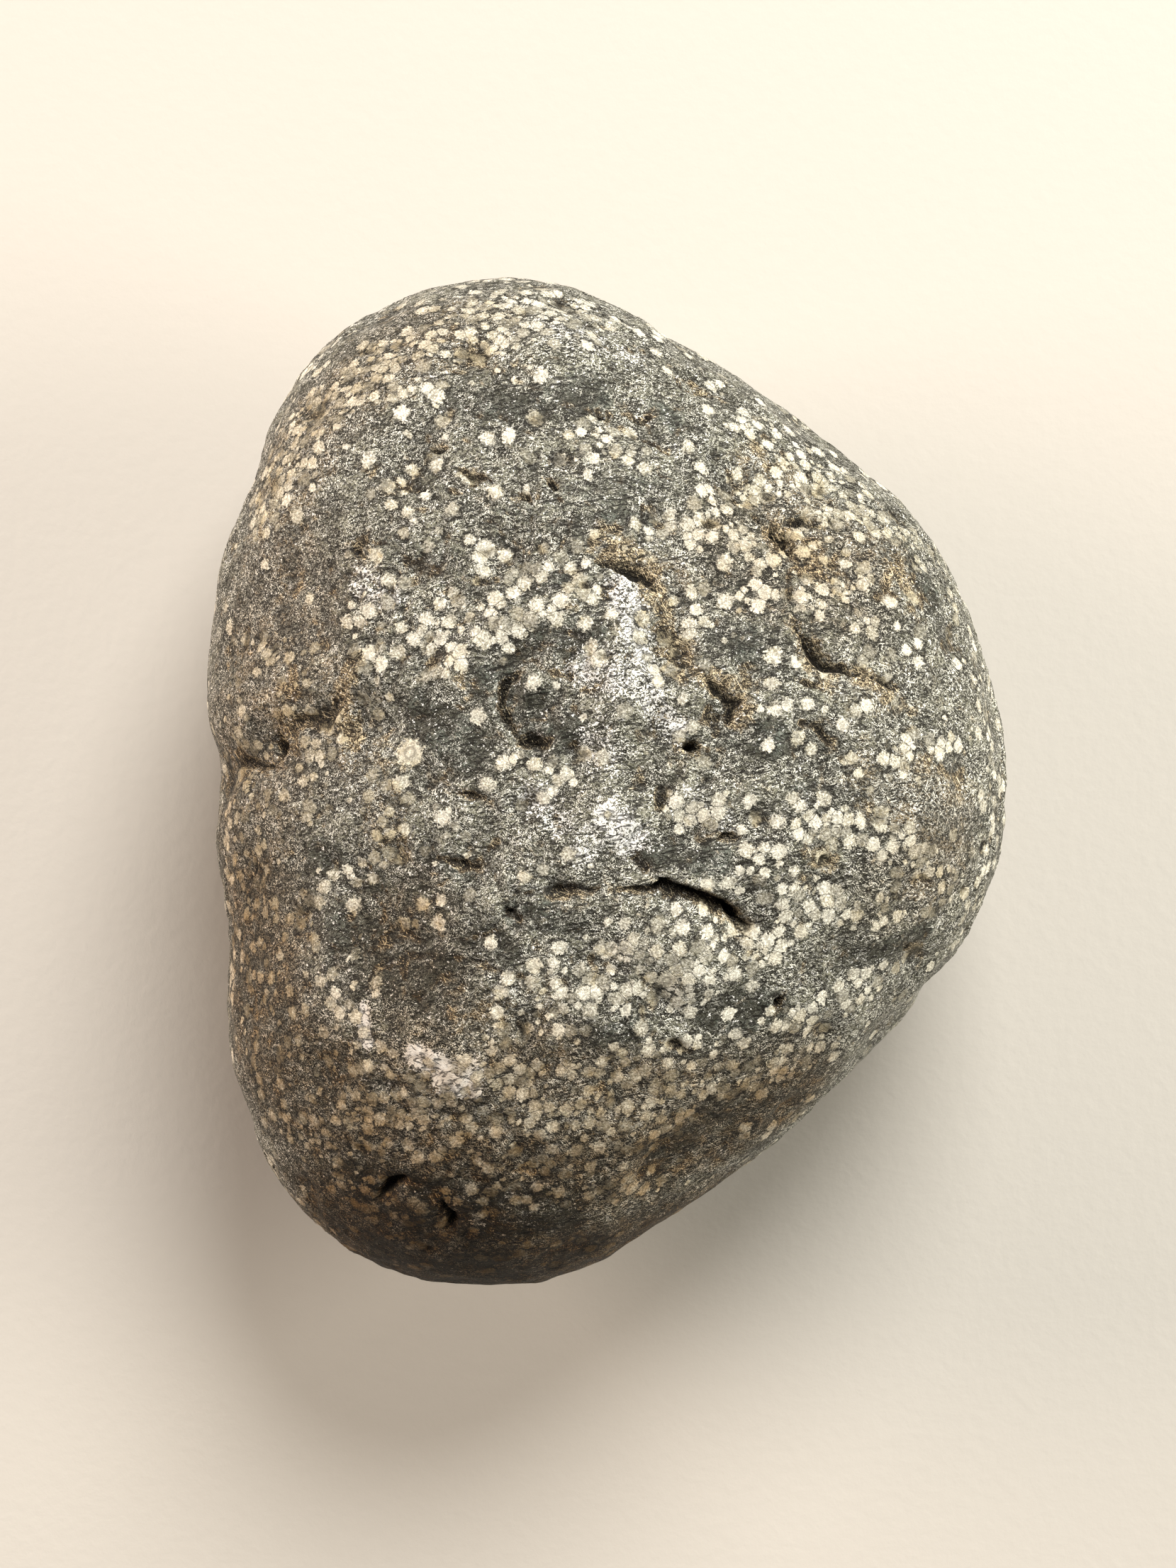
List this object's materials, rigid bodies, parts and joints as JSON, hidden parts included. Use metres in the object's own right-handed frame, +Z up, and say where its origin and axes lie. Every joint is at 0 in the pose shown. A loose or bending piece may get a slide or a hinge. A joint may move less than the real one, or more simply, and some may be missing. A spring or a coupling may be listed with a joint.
{
  "type": "snowflake obsidian pebble",
  "caption": "Water-worn pebble of snowflake obsidian with a waist, ledges, grooves and pits, resting on a small worn flat.",
  "frame": {"origin": "centre of the pebble's box, at the level of the flat it rests on", "axes": "+X across the pebble, +Y along its length, +Z up through its broad domed face"},
  "size_m": [0.0474, 0.0596, 0.031],
  "materials": {
    "snowflake_obsidian": "matt weathered volcanic glass, slate grey, covered in fine pale bruises, with cream round crystals and ochre in the pits"
  },
  "bodies": {
    "root": {"obsidian_pebble": "snowflake_obsidian"}
  },
  "joints": []
}
